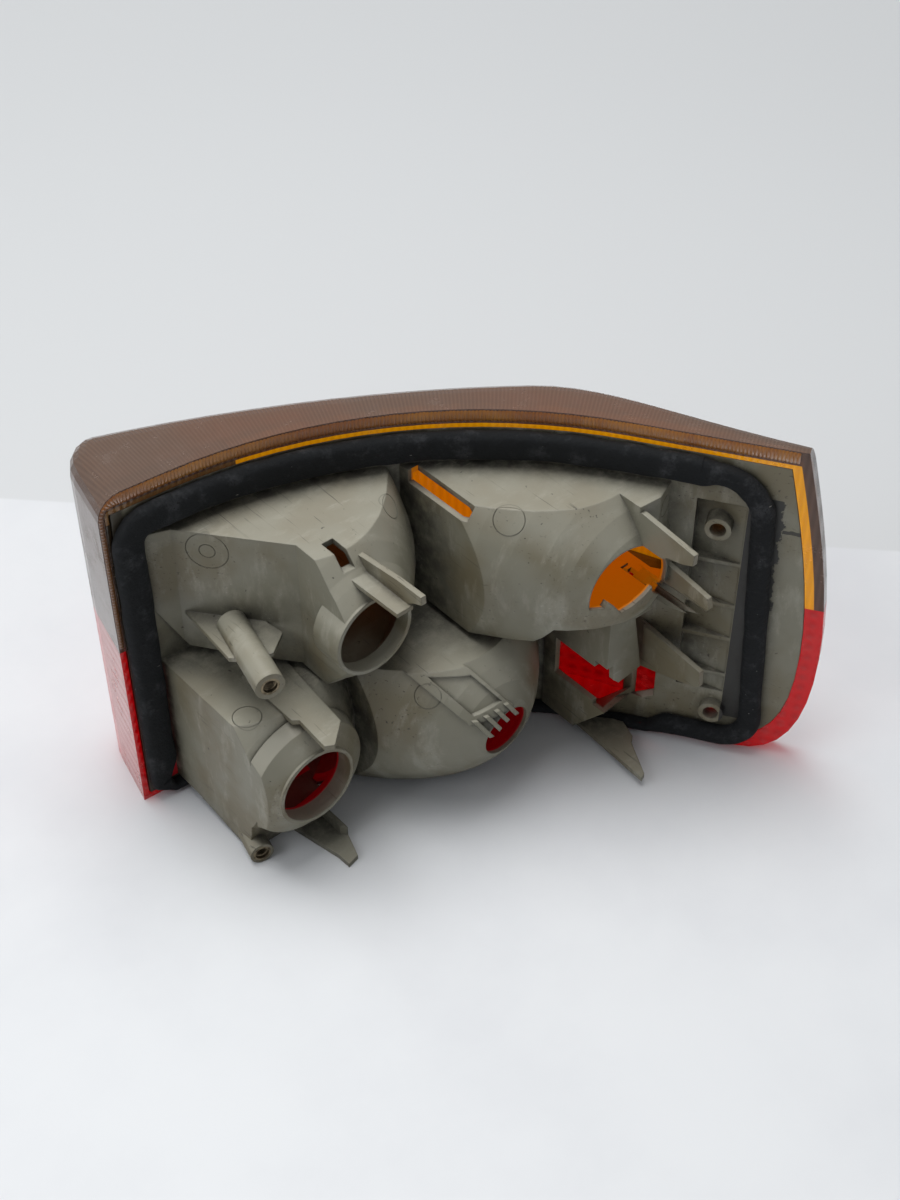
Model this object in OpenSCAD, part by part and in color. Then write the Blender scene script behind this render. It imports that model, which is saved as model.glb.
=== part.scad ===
// Rear corner lamp of a car: lens shells, reflector housing, gasket and inserts.
// The lamp stands on its lower edge. X runs along the car's tail to its side, Z is up, and -Y points
// out of the bulb openings. Plan places are measured from the inner end of the flange line.

/* [Flange line] */
// Straight run at the inner end of the flange line
line_in = 25; // [15:1:40]
// Radius of the bend round the car's corner
line_r = 167; // [150:1:190]
// Angle that the bend turns
line_turn = 54; // [50:1:56]
// Angle between the inner run and the car's tail
line_tilt = 3.6; // [2:0.2:5]
// Thickness of the flange plate
flange_t = 2.2; // [1.8:0.1:2.4]

/* [Lens] */
// Height of the lens
lens_h = 138; // [132:1:146]
// Height of the joint between the upper shells and the red one
split_h = 73; // [68:1:78]
// Wall of the smoked skin and of the red lens
lens_wall = 2.2; // [1.8:0.1:2.4]
// Wall of the amber and clear inner layers
layer_wall = 1.6; // [1.2:0.1:1.7]
// Height of the ribbed bead under the top edge of the smoked skin
bead_h = 3.4; // [2.6:0.1:4.4]
// Depth of that bead from the rear edge
bead_d = 7; // [5:0.5:10]
// Radius of the upper lens's front and side edge
edge_r = 9; // [5:0.5:12]
// Place along the flange line where the clear layer meets the amber one
layer_split = 50; // [44:1:56]

/* [Bowls] */
// Wall of the housing
wall = 2.2; // [1.8:0.1:2.8]
// Focal length of the round reflectors
focal = 14; // [13:0.5:15]
// Height of the flat roof of the upper bowls
roof_h = 117; // [115:0.5:118.5]
// Height of the lower bowls' roof
lower_roof_h = 62; // [60:0.5:63]
// Height of the upper bowls' floor
upper_floor_h = 65; // [64:0.5:68]
// Height of the lower bowls' floor
lower_floor_h = 5; // [4.5:0.5:7]
// Diameter of the main bulb holes
bulb_d = 28; // [26:0.5:30]
// Diameter of the small bulb hole
small_bulb_d = 20; // [18:0.5:22]
// Height of the collar round a main bulb hole
collar_h = 5; // [3:0.5:7]
// Wall of that collar
collar_wall = 1.4; // [1:0.1:2]

/* [Mounting] */
// Outer diameter of the long mounting boss
boss_d = 10.4; // [9.5:0.1:12]
// Length of the long mounting boss
boss_len = 34; // [30:1:38]
// Outer diameter of the short mounting boss
foot_d = 8.6; // [8:0.1:9.4]
// Length of the short mounting boss
foot_len = 12; // [10:1:14]
// Thread diameter in the inserts
thread_d = 5; // [4:0.5:5]
// Wall of an insert
insert_wall = 0.8; // [0.6:0.1:1]
// Length of an insert
insert_len = 9; // [6:0.5:10]
// Outer diameter of the side eyes
eye_d = 9.2; // [8:0.4:12]
// Bore of the side eyes
eye_bore = 5.6; // [5:0.1:6.5]
// Height of the side eyes above the flange
eye_h = 3.2; // [2:0.4:6]

/* [Gasket] */
// Width of the foam band
foam_w = 11; // [10:0.2:11.2]
// Thickness of the foam band
foam_t = 4.6; // [3:0.2:5]

/* [Fits] */
// Gap between the housing's flange and the lens wall round it
seat_gap = 0.2; // [0.1:0.05:0.3]

/* [Hidden] */
$fn = 48;

// Bend of the flange line: where it starts, its centre and its length
bend_start = [line_in * cos(line_tilt), -line_in * sin(line_tilt)];
bend_centre = bend_start - line_r * [sin(line_tilt), cos(line_tilt)];
bend_len = line_r * line_turn * PI / 180;
end_angle = line_tilt + line_turn;
bend_end = bend_centre + line_r * [sin(end_angle), cos(end_angle)];
bend_end_s = line_in + bend_len;
line_end = bend_end_s + 86;
bend_steps = 16;

// Heading of the flange line below the X axis, at the distance s along it
function heading(s) =
    s <= line_in ? line_tilt
    : s < bend_end_s ? line_tilt + (s - line_in) * 180 / PI / line_r
    : end_angle;
function on_line(s) =
    s <= line_in ? s * [cos(line_tilt), -sin(line_tilt)]
    : s < bend_end_s ? bend_centre + line_r * [sin(heading(s)), cos(heading(s))]
    : bend_end + (s - bend_end_s) * [cos(end_angle), -sin(end_angle)];
// Point at the distance s along the line and d in front of it, towards the lens
function beside(s, d) = on_line(s) + d * [sin(heading(s)), cos(heading(s))];
function stations(s0, s1) = concat(
    [s0],
    [for (i = [0:bend_steps]) let (s = line_in + bend_len * i / bend_steps) if (s > s0 && s < s1) s],
    [s1]);
function reversed(list) = [for (i = [len(list) - 1:-1:0]) list[i]];
// Plan of a wall that follows the line from s0 to s1, between the depths d0 and d1
function band(s0, s1, d0, d1) = concat(
    [for (s = stations(s0, s1)) beside(s, d0)],
    [for (s = reversed(stations(s0, s1))) beside(s, d1)]);
module strip(s0, s1, d0, d1, z0, z1) {
    translate([0, 0, z0]) linear_extrude(z1 - z0) polygon(band(s0, s1, d0, d1));
}
// Everything on the bulb side of the line, as far as depth d in front of it
module behind(d, z0, z1) {
    reach = 260;
    translate([0, 0, z0]) linear_extrude(z1 - z0)
        polygon(concat([for (s = stations(-20, line_end)) beside(s, d)], [[reach, -reach], [-reach / 4, -reach]]));
}
// Turns a profile drawn in X and Z so that it is extruded along Y, from y0 to y1
module along_y(y0, y1) {
    translate([0, y1, 0]) rotate([90, 0, 0]) linear_extrude(y1 - y0) children();
}
// Turns a profile drawn in Y and Z so that it is extruded along X, from x0 to x1
module along_x(x0, x1) {
    translate([x0, 0, 0]) rotate([90, 0, 90]) linear_extrude(x1 - x0) children();
}
// Places a solid of revolution, drawn about Z, so that its +Z end points the way the bulbs leave
module bulb_axis(at) {
    translate(at) rotate([90, 0, 0]) children();
}

// Curved end of the lamp, drawn in the plane of the last straight run
function bezier(p, n) = [for (i = [0:n]) let (t = i / n, u = 1 - t)
    u * u * u * p[0] + 3 * u * u * t * p[1] + 3 * u * t * t * p[2] + t * t * t * p[3]];
end_top = 58.6;
end_wide = 73.5;
end_mid_h = 50;
end_foot = 48;
function end_curve(inset) = concat(
    bezier([[end_top - inset, lens_h + 1], [66 - inset, lens_h - 28], [end_wide - inset, 80], [end_wide - inset, end_mid_h]], 8),
    bezier([[end_wide - inset, end_mid_h], [end_wide - inset, 18], [66 - inset, inset * 0.8], [end_foot - inset, inset * 0.8]], 8));
module end_trim(inset) {
    translate([bend_end[0], bend_end[1], 0]) rotate([90, 0, -end_angle]) translate([0, 0, -60])
        linear_extrude(200)
            polygon(concat([[-330, lens_h + 1]], end_curve(inset), [[end_foot - inset, -1], [-330, -1]]));
}

// Front of the lens in plan: inner wall, corner, tail face, bend and side face
front_corner = [[5, 22], [6.5, 30], [12.5, 37.2], [20, 34.5]];
front_tail = [[20, 34.5], [68, 17], [119, -12.5], [149, -38]];
front_side = [[149, -38], [169, -55], [173, -84], [194.4, -126.9]];
side_fade = 0.5;
function tail(list) = [for (i = [1:len(list) - 1]) list[i]];
front_line = concat([[0, 0]], bezier(front_corner, 5), tail(bezier(front_tail, 12)), tail(bezier(front_side, 10)),
                    [beside(260, 6.4)]);
front_count = len(front_line);
// The rounding of the edges fades out along the side face, where the lens grows shallow
function fade(i) = i < 18 ? 1 : 1 - side_fade * (i - 17) / (front_count - 18);
function run_at(i) = front_line[min(i + 1, front_count - 1)] - front_line[max(i - 1, 0)];
function inset_front(skin, round) = [for (i = [0:front_count - 1])
    let (t = run_at(i)) front_line[i] + (skin + round * fade(i)) * [t[1], -t[0]] / norm(t)];
// Rear end of the inner wall, moved in by an inset, on the line that lies back behind the flange's rear face
function wall_foot(inset, back) = let (
        w = front_line[1] / norm(front_line[1]),
        a = [w[1], -w[0]],
        b = [sin(line_tilt), cos(line_tilt)],
        det = a[0] * b[1] - a[1] * b[0])
    [(inset * b[1] + back * a[1]) / det, (-a[0] * back - b[0] * inset) / det];
function lens_ring(skin, round, back) = concat(
    [wall_foot(skin + round, back)],
    tail(inset_front(skin, round)),
    [for (s = reversed(stations(line_in, 260))) beside(s, -back)]);
// Solid between rings of equal length, each ring being a list [height, outline]
module loft(rings) {
    n = len(rings[0][1]);
    m = len(rings);
    polyhedron(
        [for (r = rings) for (p = r[1]) [p[0], p[1], r[0]]],
        concat(
            [[for (j = [n - 1:-1:0]) j]],
            [[for (j = [0:n - 1]) (m - 1) * n + j]],
            [for (i = [0:m - 2]) for (j = [0:n - 1]) [i * n + j, i * n + (j + 1) % n, (i + 1) * n + (j + 1) % n]],
            [for (i = [0:m - 2]) for (j = [0:n - 1]) [i * n + j, (i + 1) * n + (j + 1) % n, (i + 1) * n + j]]));
}
// Solid that fills the lens up to a skin, with its top edge rounded
module upper_fill(skin, top, r, back) {
    low = split_h;
    loft(concat(
        [[low, lens_ring(skin, 0, back)]],
        [for (a = [0:18:90]) [top - r + r * sin(a), lens_ring(skin, r * (1 - cos(a)), back)]]));
}
rim_end = lens_wall + 1.2;
layer_end = rim_end + layer_wall + 1.6;
bead_low = lens_h - lens_wall - bead_h;
layer_r = 2;
layer_gap = 0.3;
lip = 1.5;
past = 3;

module lens_smoke() {
    color([0.42, 0.3, 0.27, 0.8]) difference() {
        intersection() {
            upper_fill(0, lens_h, edge_r, 0);
            end_trim(0);
        }
        difference() {
            intersection() {
                translate([0, 0, -0.01]) upper_fill(lens_wall, lens_h - lens_wall, edge_r - lens_wall, past);
                end_trim(rim_end);
            }
            strip(-1, 261, -past - 1, bead_d, bead_low, lens_h);
        }
    }
}
module layer(s0, s1) {
    intersection() {
        difference() {
            intersection() {
                upper_fill(lens_wall + layer_gap, bead_low, layer_r, 0);
                end_trim(rim_end);
            }
            difference() {
                intersection() {
                    translate([0, 0, -0.01]) upper_fill(lens_wall + layer_wall, bead_low - layer_wall, layer_gap, past);
                    end_trim(layer_end);
                }
                strip(-1, 261, flange_t, flange_t + lip, bead_low - layer_wall - lip, lens_h);
            }
        }
        strip(s0, s1, -1, 60, 0, lens_h + 1);
    }
}
module lens_amber() color([0.85, 0.5, 0.05]) layer(layer_split, 262);
module lens_clear() color([0.85, 0.88, 0.88]) layer(-12, layer_split - seat_gap);
module lens_red() {
    color([0.75, 0.05, 0.06]) difference() {
        intersection() {
            plate(0, split_h, lens_ring(0, 0, 0));
            end_trim(0);
        }
        difference() {
            intersection() {
                plate(lens_wall, split_h + 1, lens_ring(lens_wall, 0, past));
                end_trim(layer_end);
            }
            strip(-1, 261, flange_t, flange_t + lip, 0, lens_wall + lip);
        }
    }
}

// Housing
flange_top = bead_low - layer_wall - seat_gap;
function bowl_k() = 1 / (4 * focal);
// Round reflector: a paraboloid about an axis along -Y, with its apex at apex_y
module reflector(at, apex_y, r_max, inset) {
    k = bowl_k();
    steps = 9;
    front = 14;
    profile = [for (i = [0:steps]) let (
            r = r_max * i / steps,
            slope = 2 * k * r,
            len = sqrt(1 + slope * slope))
        [max(0, r - inset * slope / len), -(apex_y + k * r * r) - inset / len]];
    bulb_axis([at[0], 0, at[1]]) rotate_extrude($fn = 64)
        polygon(concat(profile, [[profile[steps][0], -front], [0, -front]]));
}
// Shoulder that carries the bowl's outside up to the collar of a bulb hole, bulged to a radius half way
module shoulder(at, mouth, bulge) {
    rim_r = bulb_d / 2 + collar_wall;
    bulb_axis([at[0], mouth, at[1]]) rotate_extrude($fn = 64)
        polygon([[0, -shoulder_len], [shoulder_r, -shoulder_len], [bulge, -shoulder_len / 2], [rim_r, -1], [0, -1]]);
}
module slab(x0, x1, y0, y1, z0, z1) {
    translate([x0, y0, z0]) cube([x1 - x0, y1 - y0, z1 - z0]);
}

shoulder_len = 11;
shoulder_r = 24.5;
ul_axis = [60, 89];
ul_apex = -62.5;
ul_mouth = -62;
ll_axis = [33, 36];
ll_apex = -61;
ll_mouth = -62.5;
lm_axis = [99.5, 35];
lm_apex = -84;
ur_axis = [144, 86];
ur_apex = -102.5;
ul_right = 96;
ul_step = 49;
ur_left = 101;
ll_left = 14.5;
ll_right = 64;
lm_left = 62;
lm_right = 136;
lr_left = 139.5;
lr_right = 160;
lr_back = -92;

// Each bowl is drawn once: o is how far its walls are moved in, so that o = wall gives its cavity
module bowl_ul(o) {
    intersection() {
        union() {
            intersection() {
                union() {
                    reflector(ul_axis, ul_apex, 50, o);
                    if (o == 0) shoulder(ul_axis, ul_mouth, 20);
                }
                slab(ul_step + o, ul_right, -80, 14, 0, lens_h);
            }
            intersection() {
                translate([0, 0, upper_floor_h]) linear_extrude(roof_h - upper_floor_h)
                    polygon([[15 + o, 14], [15 + o, -1], [23 + o * 0.7, -4 + o * 0.7], [50 + o * 0.8, -38 + o * 0.6],
                             [62, -38 + o * 0.6], [62, 14]]);
                along_y(-60, 14) polygon([[15 + o, roof_h], [15 + o, 84], [24 + o * 0.6, 66 + o * 0.8], [36, upper_floor_h + o],
                                          [62, upper_floor_h + o], [62, roof_h]]);
            }
        }
        slab(14, ul_right - o, -80, 16, upper_floor_h - 1 + o, roof_h - o);
    }
}
module bowl_ll(o) {
    intersection() {
        union() {
            reflector(ll_axis, ll_apex, 46, o);
            if (o == 0) shoulder(ll_axis, ll_mouth, 22.6);
            along_x(ll_left + o, 50) polygon([[14, 2], [14, lower_roof_h], [-29 + o, lower_roof_h], [-33 + o, 57], [-42 + o, 47],
                                              [-46.3 + o, 35], [-47.6 + o, 26], [-47.5 + o, 15], [-45 + o, 0]]);
        }
        along_x(ll_left + o, ll_right - o) polygon([[16, lower_floor_h + o], [16, lower_roof_h - o], [-80, lower_roof_h - o],
                                                    [-80, o], [-46, o + 0.8], [-14, lower_floor_h + o]]);
    }
}
module bowl_lm(o) {
    intersection() {
        reflector(lm_axis, lm_apex, 52, o);
        slab(lm_left + o, lm_right - o, -110, 16, lower_floor_h + o, lower_roof_h - o);
    }
}
module bowl_ur(o) {
    intersection() {
        union() {
            reflector(ur_axis, ur_apex, 60, o);
            translate([0, 0, 98]) linear_extrude(roof_h - 98)
                polygon([[146 + o, -40], [146 + o, -95 + o], [155, -95.5 + o], [168 - o, -90], [168 - o, -40]]);
        }
        along_y(-120, 16) polygon([[ur_left + o, roof_h - o], [ur_left + o, upper_floor_h + o], [115 + o, upper_floor_h + o],
                                   [117 + o, 74 + o], [176, 74 + o], [176, roof_h - o]]);
    }
}
module bowl_lr(o) {
    along_x(lr_left + o, lr_right) polygon([[-60, lower_floor_h + o], [-60, 75], [lr_back + o, 75],
                                            [lr_back + o, 23], [-77 + o, lower_floor_h + o]]);
}
module round_hole(at, y, d, depth) {
    bulb_axis([at[0], y + depth, at[1]]) cylinder(h = 2 * depth, d = d);
}
module collar(at, y, d) {
    bulb_axis([at[0], y + collar_h + 8, at[1]]) cylinder(h = collar_h + 8, d = d + 2 * collar_wall);
}
lm_mouth = -84;
lm_hole = [101, 32.5];

module bowls() {
    intersection() {
        union() {
            bowl_ul(0);
            bowl_ll(0);
            bowl_lm(0);
            bowl_ur(0);
            bowl_lr(0);
            collar(ul_axis, ul_mouth, bulb_d);
            collar(ll_axis, ll_mouth, bulb_d);
            bracket();
        }
        behind(1, -1, lens_h);
    }
}
module cavities() {
    intersection() {
        union() {
            bowl_ul(wall);
            bowl_ll(wall);
            bowl_lm(wall);
            bowl_ur(wall);
            bowl_lr(wall);
        }
        behind(flange_t + 0.1, -1, lens_h);
    }
}
// Raised frame with a comb of four fins on the lower middle bowl
module bracket() {
    intersection() {
        reflector(lm_axis, lm_apex - 1.6, 48, 0);
        along_y(-100, -40) {
            polygon([[71, 66], [85.2, 44.2], [103, 45], [100.6, 47.6], [92, 61.2], [86, 66]]);
        }
        difference() {
            slab(60, 110, -100, -40, 30, lower_roof_h);
            along_y(-100, -40) polygon([[78.8, 60.8], [87.2, 47.2], [98.4, 48.8], [91.4, 59.4]]);
        }
    }
    intersection() {
        reflector(lm_axis, lm_apex - 3, 48, 0);
        along_y(-92, -60) for (i = [0:3]) translate([i * 4.2, i * 0.6]) polygon([[85.8, 46], [90.2, 38.4], [92, 38.4], [87.6, 46]]);
    }
}
module flange() {
    low_edge = wall_foot(lens_wall, -flange_t)[0] + seat_gap;
    high_edge = wall_foot(lens_wall + layer_wall, -flange_t)[0] + seat_gap;
    intersection() {
        strip(0, 261, 0, flange_t, lens_wall + seat_gap, flange_top);
        along_y(-160, 20) polygon([[low_edge, 0], [low_edge, split_h], [high_edge, split_h],
                                   [high_edge, lens_h], [300, lens_h], [300, 0]]);
        end_trim(layer_end + seat_gap);
    }
}
// Pocket of the right column, with its shelves
pocket_s = [207, 224];
shelf_z = [87, 68, 52.5, 35];
shelf_t = 1.6;
module pocket() {
    plate(24, 114, [beside(pocket_s[1] + 3, 1), beside(pocket_s[0] - 1.6, 1), beside(pocket_s[0] - 1.6, 6)]);
}
module pocket_hole() {
    difference() {
        plate(26, 112, [beside(pocket_s[1], 0.4), beside(pocket_s[1], -1), beside(pocket_s[0], -1), beside(pocket_s[0], 4.4)]);
        for (z = shelf_z) translate([0, 0, z]) slab(140, 200, -150, -80, -shelf_t, 0);
    }
}
// Partitions that keep each lamp's light to its own field of the lens
wall_t = 1.6;
skin_gap = 0.3;
module chamber(skin, z0, z1) {
    plate(z0, z1, lens_ring(skin, 0, -1));
}
module partitions() {
    inner = lens_wall + layer_gap + layer_wall + skin_gap;
    intersection() {
        union() {
            chamber(lens_wall + skin_gap, split_h - wall_t, split_h);
            intersection() {
                chamber(inner, split_h - 1, flange_top - layer_r);
                strip(98, 98 + wall_t, 1, 60, split_h - 1, lens_h);
            }
            intersection() {
                chamber(lens_wall + skin_gap, lens_wall + 6, split_h);
                union() {
                    strip(63, 63 + wall_t, 1, 60, 0, lens_h);
                    strip(158, 158 + wall_t, 1, 60, 0, lens_h);
                }
            }
        }
        end_trim(layer_end + skin_gap);
    }
}
boss_tilt = 14;
boss_at = [23.9, -53, 82];
foot_at = [15.5, -51, 4.4];
eye_s = [215.4, 221.2];
eye_z = [102.6, 17.1];
// How far each eye reaches in front of the flange's rear face; the upper one stands in the pocket's sloping floor
eye_root = [4.6, flange_t];
insert_d = thread_d + 2 * insert_wall;
module boss_axis(at) {
    translate(at) rotate([90, 0, -boss_tilt]) children();
}
module eye_axis(i) {
    p = beside(eye_s[i], 0);
    translate([p[0], p[1], eye_z[i]]) rotate([90, 0, -end_angle]) children();
}
module tab(x, outline) {
    along_x(x - tab_t / 2, x + tab_t / 2) polygon(outline);
}
module plate(z0, z1, outline) {
    translate([0, 0, z0]) linear_extrude(z1 - z0) polygon(outline);
}
tab_t = 2;
module tabs() {
    // Latch at the upper left bowl: a fin with a shelf beside it
    tab(64, [[-44, 113.5], [-46, 104], [-70, 106], [-78, 112], [-82.3, 114], [-82, 117], [-70, 116.6]]);
    plate(108.4, 110, [[56.5, -48], [64, -48], [64, -77], [57.5, -77]]);
    // Latch plate between the two left bowls
    plate(61, 63, [[30.3, -26], [30.3, -54], [32.3, -55.6], [31.3, -70.3], [34.3, -72], [42.5, -64.5], [46.5, -26]]);
    // Latch under the lower left bowl: a plate with a rib
    plate(0, tab_t, [[31, -40], [36.5, -67], [36.7, -72.7], [41.4, -71.6], [44.7, -62], [44.7, -40]]);
    plate(0, 6, [[42.7, -40], [42.7, -60], [44.7, -62], [44.7, -40]]);
    // Three fins beside the right bulb openings
    tab(147, [[-85, 113], [-85, 98], [-104, 100], [-108.3, 103.8], [-115, 105.5], [-119.5, 107.6], [-119.7, 112], [-96, 115]]);
    tab(160, [[-90, 88], [-90, 69], [-100, 69], [-113.5, 73.4], [-118, 80], [-117, 84], [-105, 86]]);
    tab(160, [[-85, 54], [-85, 32], [-92, 34], [-116, 41.6], [-118, 43.5], [-117.6, 50]]);
    // Latch plate under the lower right bowl
    plate(lower_floor_h - tab_t + 0.2, lower_floor_h + 0.2,
          [[142.5, -72], [140.1, -112.5], [142.4, -111.5], [149.8, -97.5], [152.4, -95.5], [155, -88], [153, -84]]);
    // Webs at the long boss
    plate(80.4, 82, [[24, -4], [33, -14], [41, -26], [42.3, -35], [34, -41], [30, -40], [24, -36], [21.5, -33.5]]);
}
// Keyed opening of the upper right bulb
module key_hole() {
    difference() {
        along_y(-125, -80) {
            difference() {
                translate([140.5, 87]) circle(r = 16.2);
                polygon([[120, 85], [129, 84.6], [130, 87.2], [131.5, 85.6], [135, 80.6], [147.5, 86.5], [149, 83], [160, 73], [160, 60], [120, 60]]);
            }
            polygon([[147, 92], [153.6, 92], [155.4, 84], [161.8, 75], [160, 71], [147.5, 84]]);
        }
    }
}
module windows() {
    // Slot in the front edge of the upper left roof
    slab(55.5, 60, -53, -41.5, roof_h - 5, roof_h + 2);
    // Slot along the left edge of the upper right roof
    slab(ur_left - 1, ur_left + 4.4, -59, -30, roof_h - 5, roof_h + 1);
    // Window through the left wall and the back of the lower right bowl
    slab(lr_left - 1, lr_left + wall + 1, lr_back - 1, -66, 25, 42);
    along_y(lr_back - 1, lr_back + wall + 4)
        polygon([[138, 24], [138, 45], [142.5, 45], [143.2, 37.5], [146, 34.5], [157, 36], [165, 33], [168, 25], [166.5, 18.5],
                 [162.4, 14.5]]);
    along_y(lr_back - 1, lr_back + wall + 1) polygon([[156.9, 35.9], [152, 62], [161, 62], [161, 34]]);
}
module housing() {
    color([0.62, 0.6, 0.54]) difference() {
        union() {
            difference() {
                union() {
                    flange();
                    bowls();
                    pocket();
                    partitions();
                }
                cavities();
                pocket_hole();
                windows();
            }
            difference() {
                union() {
                    tabs();
                    boss_axis(boss_at) translate([0, 0, -boss_len]) cylinder(h = boss_len, d = boss_d);
                    boss_axis(foot_at) translate([0, 0, -foot_len]) cylinder(h = foot_len, d = foot_d);
                    for (i = [0, 1]) eye_axis(i) translate([0, 0, -eye_root[i]]) cylinder(h = eye_h + eye_root[i], d = eye_d);
                }
                cavities();
            }
        }
        round_hole(ul_axis, ul_mouth, bulb_d, 12);
        round_hole(ll_axis, ll_mouth, bulb_d, 12);
        round_hole(lm_hole, lm_mouth, small_bulb_d, 12);
        key_hole();
        for (at = [boss_at, foot_at]) boss_axis(at) translate([0, 0, -insert_len]) cylinder(h = insert_len + 1, d = insert_d);
        for (i = [0, 1]) eye_axis(i) translate([0, 0, -flange_t - 12]) cylinder(h = eye_h + 24, d = eye_bore);
    }
}
module insert(at) {
    boss_axis(at) translate([0, 0, -insert_len]) difference() {
        cylinder(h = insert_len, d = insert_d);
        translate([0, 0, -1]) cylinder(h = insert_len + 2, d = thread_d);
    }
}
module insert_upper() color([0.75, 0.65, 0.4]) insert(boss_at);
module insert_lower() color([0.75, 0.65, 0.4]) insert(foot_at);

// Gasket: a foam band swept round the flange
foam_half = foam_w / 2;
side_half = foam_w * 0.37;
foam_left = lens_wall + 0.4 + foam_half;
foam_top = flange_top - 0.1 - foam_half;
foam_low = lens_wall + side_half;
// Half width of the thin run under the bowls
thin_half = (lower_floor_h - 1.4) / 2;
thin_z = 1.2 + thin_half;
// Corners of the band's middle line: place along the flange line, height, corner radius, half width
foam_path = [
    [foam_left, foam_top, 8, foam_half],
    [208, foam_top, 1, foam_half],
    [228.6, flange_top - 0.1 - side_half, 16, side_half],
    [236, foam_low, 10, side_half],
    [206, foam_low, 4, side_half],
    [198, thin_z, 4, thin_half],
    [foam_left + 3, thin_z, 1, thin_half],
    [foam_left - 1.6, thin_z + 5, 1, foam_half - 1.6],
    [foam_left, thin_z + 14, 1, foam_half]];
function unit(v) = v / norm(v);
function corner_pts(i, n) = let (
        c = len(foam_path), p = foam_path[i], a = foam_path[(i + c - 1) % c], b = foam_path[(i + 1) % c],
        P = [p[0], p[1]], u = unit([a[0], a[1]] - P), v = unit([b[0], b[1]] - P),
        half = acos(u * v) / 2, cut = p[2] / tan(half), mid = P + unit(u + v) * p[2] / sin(half),
        p0 = P + u * cut, p1 = P + v * cut)
    [for (j = [0:n]) let (w = mid + p[2] * unit((p0 - mid) * (1 - j / n) + (p1 - mid) * j / n)) [w[0], w[1], p[3]]];
function densify(pts, gap) = [for (i = [0:len(pts) - 1]) let (
        a = pts[i], b = pts[(i + 1) % len(pts)], d = norm([b[0] - a[0], b[1] - a[1]]), n = max(1, round(d / gap)))
    for (j = [0:n - 1]) a + (b - a) * j / n];
module gasket() {
    loop = densify([for (i = [0:len(foam_path) - 1]) each corner_pts(i, 5)], 10);
    n = len(loop);
    section = [[-1, 0], [-1, 0.6], [-0.7, 1], [0.7, 1], [1, 0.6], [1, 0]];
    m = len(section);
    color([0.14, 0.15, 0.16]) polyhedron(
        [for (i = [0:n - 1]) let (t = unit([for (k = [0, 1]) loop[(i + 1) % n][k] - loop[(i + n - 1) % n][k]]))
            for (q = section) let (
                s = loop[i][0] - t[1] * q[0] * loop[i][2],
                z = loop[i][1] + t[0] * q[0] * loop[i][2],
                p = beside(s, -seat_gap - q[1] * foam_t))
            [p[0], p[1], z]],
        [for (i = [0:n - 1]) for (j = [0:m - 1]) for (h = [0, 1]) let (
            a = i * m + j, b = i * m + (j + 1) % m, c = ((i + 1) % n) * m + (j + 1) % m, d = ((i + 1) % n) * m + j)
            h == 0 ? [a, b, c] : [a, c, d]]);
}

// The row's origin is under the middle of the whole lamp
origin = [100.2, -52.905];
module place() translate([-origin[0], -origin[1], 0]) children();
place() housing();
place() lens_smoke();
place() lens_amber();
place() lens_clear();
place() lens_red();
place() gasket();
place() insert_upper();
place() insert_lower();
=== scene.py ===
# %% [markdown]
# A car's tail lamp stands on a table with its back to us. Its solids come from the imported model, in metres,
# with Z up. Everything below gives those solids their plastics, adds the fine parts that are too small to
# be worth a solid of their own, and sets up the table, the light and the camera.

import math

import bmesh
import bpy
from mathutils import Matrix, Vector, noise
from mathutils.bvhtree import BVHTree


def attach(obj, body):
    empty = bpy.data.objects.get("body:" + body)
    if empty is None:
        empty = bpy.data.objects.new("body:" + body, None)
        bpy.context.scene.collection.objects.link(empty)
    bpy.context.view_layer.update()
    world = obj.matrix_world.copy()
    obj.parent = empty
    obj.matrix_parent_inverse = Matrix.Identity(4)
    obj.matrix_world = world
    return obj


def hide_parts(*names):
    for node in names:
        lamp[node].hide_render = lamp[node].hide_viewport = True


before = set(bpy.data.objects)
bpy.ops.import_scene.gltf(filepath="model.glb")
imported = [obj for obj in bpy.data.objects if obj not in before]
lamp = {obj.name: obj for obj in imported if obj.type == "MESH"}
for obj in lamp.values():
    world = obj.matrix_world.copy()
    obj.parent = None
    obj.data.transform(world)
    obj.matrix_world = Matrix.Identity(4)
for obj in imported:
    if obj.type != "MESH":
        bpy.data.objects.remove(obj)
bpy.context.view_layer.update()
MM = 0.001
print("solids:", sorted(lamp))

# %% [markdown]
# The back of the lamp isn't flat. Its rim runs straight for a short way, bends round a wide arc, and runs
# straight again down the side of the car. Most of the fine parts follow that line, so a place is given by
# the distance along it, the depth in front of it and the height. The same line drives the pattern of the
# flutes, which is why its few sizes are written once, here.

# %% The line that the rim follows
LINE_START = Vector((-100.2, 52.905))
LINE_IN = 25
LINE_R = 167
LINE_TILT = math.radians(3.6)
LINE_TURN = math.radians(54)
BEND_START = LINE_START + LINE_IN * Vector((math.cos(LINE_TILT), -math.sin(LINE_TILT)))
BEND_CENTRE = BEND_START - LINE_R * Vector((math.sin(LINE_TILT), math.cos(LINE_TILT)))
BEND_LENGTH = LINE_R * LINE_TURN
END_ANGLE = LINE_TILT + LINE_TURN
BEND_END = BEND_CENTRE + LINE_R * Vector((math.sin(END_ANGLE), math.cos(END_ANGLE)))


def heading(along):
    """Angle of the line below the X axis."""
    return LINE_TILT + min(max((along - LINE_IN) / LINE_R, 0), LINE_TURN)


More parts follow.
